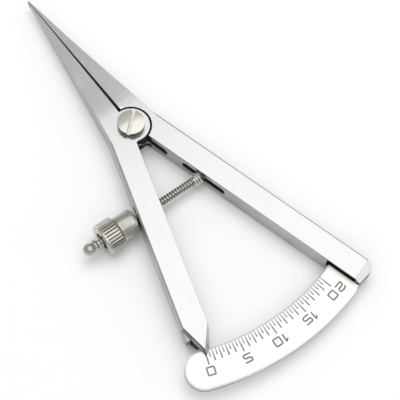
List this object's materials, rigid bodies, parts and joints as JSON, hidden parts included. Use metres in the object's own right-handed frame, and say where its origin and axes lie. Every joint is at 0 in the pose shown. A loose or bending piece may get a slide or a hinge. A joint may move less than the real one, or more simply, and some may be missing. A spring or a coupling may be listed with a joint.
{
  "type": "bone caliper",
  "caption": "Spring-loaded lap-jointed steel caliper with slender tapering jaws, an arc-shaped millimetre scale, a pointer and a thumb nut on a threaded rod that sets the opening.",
  "frame": {"origin": "on the pivot axis of the two arms, at the level of the arms' undersides", "axes": "+X from the pivot to the closed jaw tips, +Y towards the pointer arm's leg, +Z along the pivot axis towards the slotted screw head"},
  "size_m": [0.0896, 0.0413, 0.0068],
  "materials": {
    "arm_steel": "satin stainless steel",
    "plate_steel": "satin stainless steel with engraved marks",
    "screw_steel": "polished steel",
    "adjuster_nickel": "polished warm nickel",
    "rod_steel": "bright drawn steel with a fine thread",
    "spring_steel": "drawn spring wire"
  },
  "bodies": {
    "scale_arm_group": {"scale_arm": "arm_steel", "scale_plate": "plate_steel", "plate_rivets": "arm_steel", "pivot_screw": "screw_steel", "spreader_spring": "spring_steel", "rod_pin": "arm_steel"},
    "pointer_arm_group": {"pointer_arm": "arm_steel", "spreader_spring_end": "spring_steel"},
    "adjusting_rod_group": {"adjusting_rod": "rod_steel", "rod_spring": "spring_steel", "end_stop": "adjuster_nickel"},
    "thrust_sleeve_group": {"thrust_sleeve": "adjuster_nickel"},
    "thumb_nut_group": {"thumb_nut": "adjuster_nickel"}
  },
  "joints": [
    {"name": "arm_hinge", "type": "hinge", "parent": "scale_arm_group", "child": "pointer_arm_group", "pos_m": [0, 0, 0.00215], "axis": [0, 0, 1], "range_deg": [0, 31.9]},
    {"name": "rod_hinge", "type": "hinge", "parent": "scale_arm_group", "child": "adjusting_rod_group", "pos_m": [-0.01583, -0.00734, 0.00215], "axis": [0, 0, 1], "range_deg": [0, 15.95]},
    {"name": "sleeve_slide", "type": "slide", "parent": "adjusting_rod_group", "child": "thrust_sleeve_group", "axis": [0, 1, 0], "range_m": [-0.00956, 0]},
    {"name": "nut_turn", "type": "hinge", "parent": "thrust_sleeve_group", "child": "thumb_nut_group", "pos_m": [-0.01583, 0.0163, 0.00215], "axis": [0, 1, 0], "continuous": true}
  ],
  "couplings": [
    {"joint": "rod_hinge", "follows": "arm_hinge", "ratio": 0.5},
    {"joint": "sleeve_slide", "follows": "arm_hinge", "m_per_rad": -0.017156},
    {"joint": "nut_turn", "follows": "arm_hinge", "ratio": -179.7}
  ]
}
